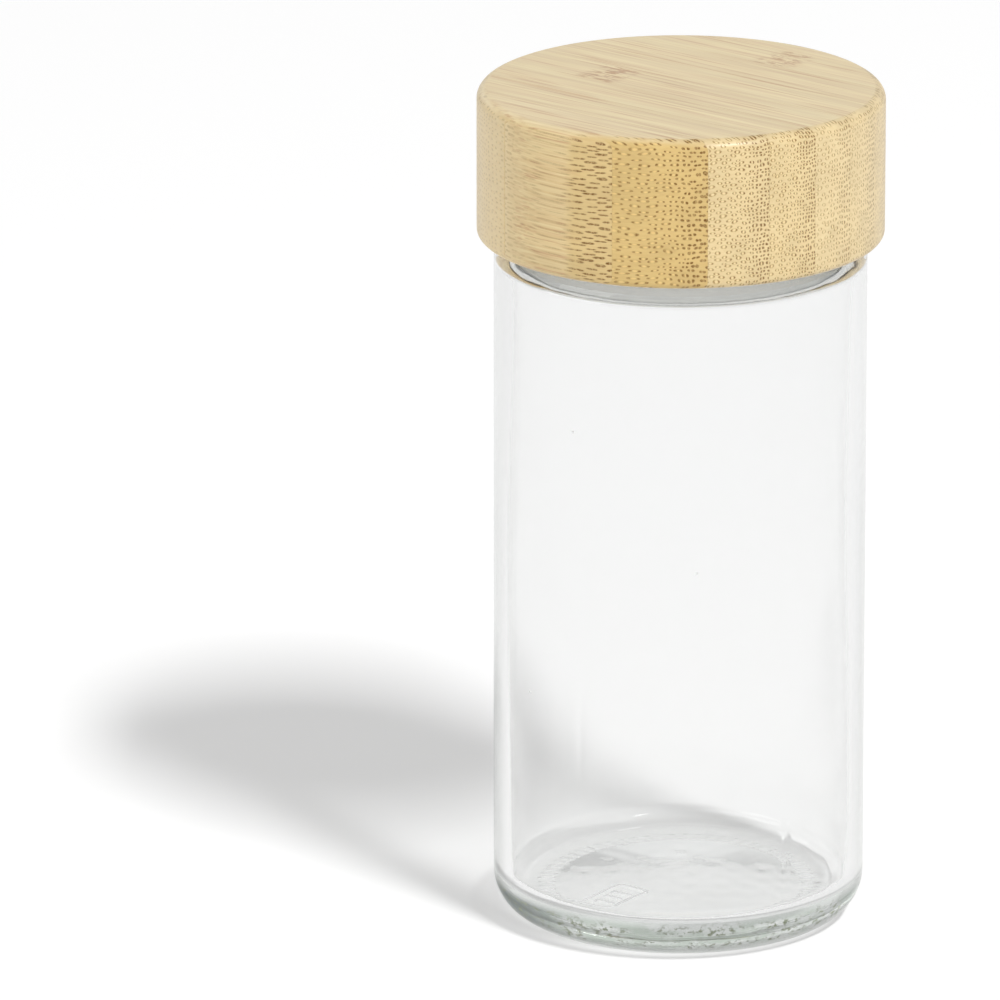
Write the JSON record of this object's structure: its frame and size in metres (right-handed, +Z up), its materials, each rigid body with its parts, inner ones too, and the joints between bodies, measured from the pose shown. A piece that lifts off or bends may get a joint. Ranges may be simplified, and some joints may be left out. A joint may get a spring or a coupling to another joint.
{
  "type": "spice jar",
  "caption": "Small straight clear glass spice jar with a thick base and a screw lid turned from laminated bamboo.",
  "frame": {"origin": "centre of the jar's base, on the surface that it stands on", "axes": "+Z up along the jar's axis; the bamboo's grain runs along X and its strips are stacked along Y"},
  "size_m": [0.048, 0.048, 0.1013],
  "materials": {
    "clear_glass": "clear moulded container glass, faintly green where it is thick",
    "white_plastic": "satin white moulded polypropylene",
    "seal_foam": "smooth off-white foamed liner",
    "bamboo_gold": "golden bamboo, clear satin lacquer",
    "bamboo_light": "pale bamboo, clear satin lacquer",
    "bamboo_mid": "honey bamboo, clear satin lacquer"
  },
  "bodies": {
    "jar": {"glass_jar": "clear_glass"},
    "seal": {"seal_disc": "seal_foam"},
    "lid": {"threaded_insert": "white_plastic", "bamboo_strip_1": "bamboo_gold", "bamboo_strip_2": "bamboo_gold", "bamboo_strip_3": "bamboo_light", "bamboo_strip_4": "bamboo_light", "bamboo_strip_5": "bamboo_mid", "bamboo_strip_6": "bamboo_light", "bamboo_strip_7": "bamboo_mid", "bamboo_strip_8": "bamboo_light", "bamboo_strip_9": "bamboo_mid"}
  },
  "joints": [
    {"name": "lid_lift", "type": "slide", "parent": "jar", "child": "seal", "axis": [0, 0, 1], "range_m": [0, 0.0127]},
    {"name": "lid_turn", "type": "hinge", "parent": "seal", "child": "lid", "pos_m": [0, 0, 0.0834], "axis": [0, 0, 1], "range_deg": [0, 1080]}
  ],
  "couplings": [
    {"joint": "lid_lift", "follows": "lid_turn", "m_per_rad": 0.00067376}
  ]
}
